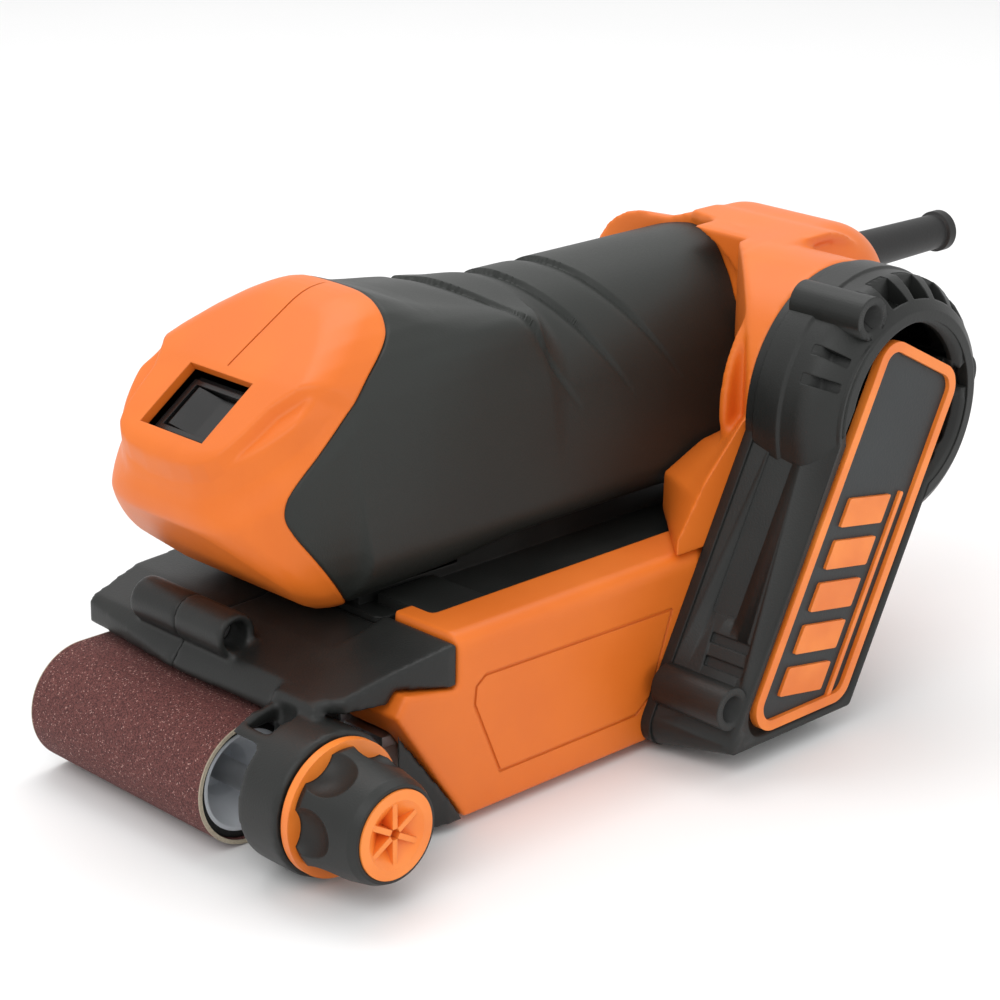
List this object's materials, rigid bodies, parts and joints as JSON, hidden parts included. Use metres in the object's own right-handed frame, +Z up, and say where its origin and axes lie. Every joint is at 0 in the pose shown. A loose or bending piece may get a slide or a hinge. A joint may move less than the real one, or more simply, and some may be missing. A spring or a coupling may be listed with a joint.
{
  "type": "belt sander",
  "caption": "Compact hand-held belt sander: barrel motor grip over a narrow sanding belt, with a side drive cover, tracking knob and rocker switch.",
  "frame": {"origin": "centre of the flat sanding face, on the surface the tool rests on", "axes": "+Z up, -X towards the front roller and switch, -Y towards the tracking knob and drive cover"},
  "size_m": [0.3073, 0.1236, 0.118],
  "materials": {
    "orange": "moulded satin orange nylon",
    "orange_trim": "smooth orange insert",
    "black": "fine textured black nylon",
    "soft": "soft black over-moulded grip",
    "hub": "pale grey moulded hub",
    "rubber": "black rubber",
    "grit": "aluminium-oxide cloth belt",
    "steel": "ground steel",
    "alu": "die-cast aluminium",
    "copper": "enamelled copper",
    "carbon": "carbon",
    "cork": "cork and graphite",
    "label": "dark label plate",
    "rocker": "glossy black switch",
    "laminate": "laminated iron",
    "nylon": "dark nylon"
  },
  "bodies": {
    "frame": {"brush_holders": "nylon", "carbon_brushes": "carbon", "cord_guard": "rubber", "cover_screws": "steel", "drive_back_plate": "black", "drive_cover": "black", "dust_outlet": "black", "field_coils": "copper", "frame_plate": "alu", "front_frame_left": "black", "front_frame_right": "black", "hood_screw": "steel", "label_border": "orange_trim", "label_plate": "label", "left_side_body": "orange", "lever_bracket": "steel", "motor_bearings": "steel", "motor_deck": "black", "motor_housing_left": "orange", "motor_housing_right": "orange", "output_bearings": "steel", "platen_carrier": "alu", "platen_cushion": "cork", "platen_shoe": "steel", "rear_roller_bearings": "steel", "sanding_belt": "grit", "soft_grip": "soft", "stator_core": "laminate", "switch_body": "rocker", "tension_spring": "steel", "toothed_belt": "rubber"},
    "rotor": {"motor_shaft": "steel", "armature_core": "laminate", "armature_windings": "copper", "commutator": "copper", "cooling_fan": "nylon", "motor_pinion": "steel"},
    "output": {"crown_gear": "steel", "output_shaft": "steel", "drive_pulley": "alu"},
    "rear_roller": {"rear_roller_core": "alu", "rear_roller_lagging": "rubber", "rear_roller_shaft": "steel", "driven_pulley": "alu"},
    "front_roller": {"front_roller_hub": "hub", "front_roller_sleeve": "rubber"},
    "yoke": {"front_axle": "steel", "front_yoke": "steel"},
    "knob": {"tracking_knob": "black", "knob_flange": "orange_trim", "knob_cap": "orange_trim", "tracking_screw": "steel"},
    "rocker": {"switch_rocker": "rocker"},
    "lever": {"release_lever": "nylon"}
  },
  "joints": [
    {"name": "motor_spin", "type": "hinge", "parent": "frame", "child": "rotor", "pos_m": [0, 0, 0.0795], "axis": [1, 0, 0], "continuous": true},
    {"name": "output_spin", "type": "hinge", "parent": "frame", "child": "output", "pos_m": [0.102, 0, 0.0795], "axis": [0, 1, 0], "continuous": true},
    {"name": "rear_roller_spin", "type": "hinge", "parent": "frame", "child": "rear_roller", "pos_m": [0.06622, 0, 0.015], "axis": [0, 1, 0], "continuous": true},
    {"name": "release_lever_swing", "type": "hinge", "parent": "frame", "child": "lever", "pos_m": [-0.038, 0.033, 0.015], "axis": [0, 0, 1], "range_deg": [0, 80]},
    {"name": "tension_slide", "type": "slide", "parent": "frame", "child": "yoke", "axis": [1, 0, 0], "range_m": [0, 0.004], "deforming": ["tension_spring"]},
    {"name": "front_roller_spin", "type": "hinge", "parent": "yoke", "child": "front_roller", "pos_m": [-0.06622, 0, 0.015], "axis": [0, 1, 0], "continuous": true},
    {"name": "tracking_turn", "type": "hinge", "parent": "frame", "child": "knob", "pos_m": [-0.06402, -0.06, 0.018], "axis": [0, 1, 0], "range_deg": [-180, 180]},
    {"name": "switch_rock", "type": "hinge", "parent": "frame", "child": "rocker", "pos_m": [-0.04944, 0, 0.089], "axis": [0.8131, 0, 0.5821], "range_deg": [-16, 0]}
  ],
  "couplings": [
    {"joint": "output_spin", "follows": "motor_spin", "ratio": -0.24324},
    {"joint": "rear_roller_spin", "follows": "motor_spin", "ratio": -0.1769},
    {"joint": "front_roller_spin", "follows": "motor_spin", "ratio": -0.1769},
    {"joint": "tension_slide", "follows": "release_lever_swing", "m_per_rad": 0.0028648}
  ]
}
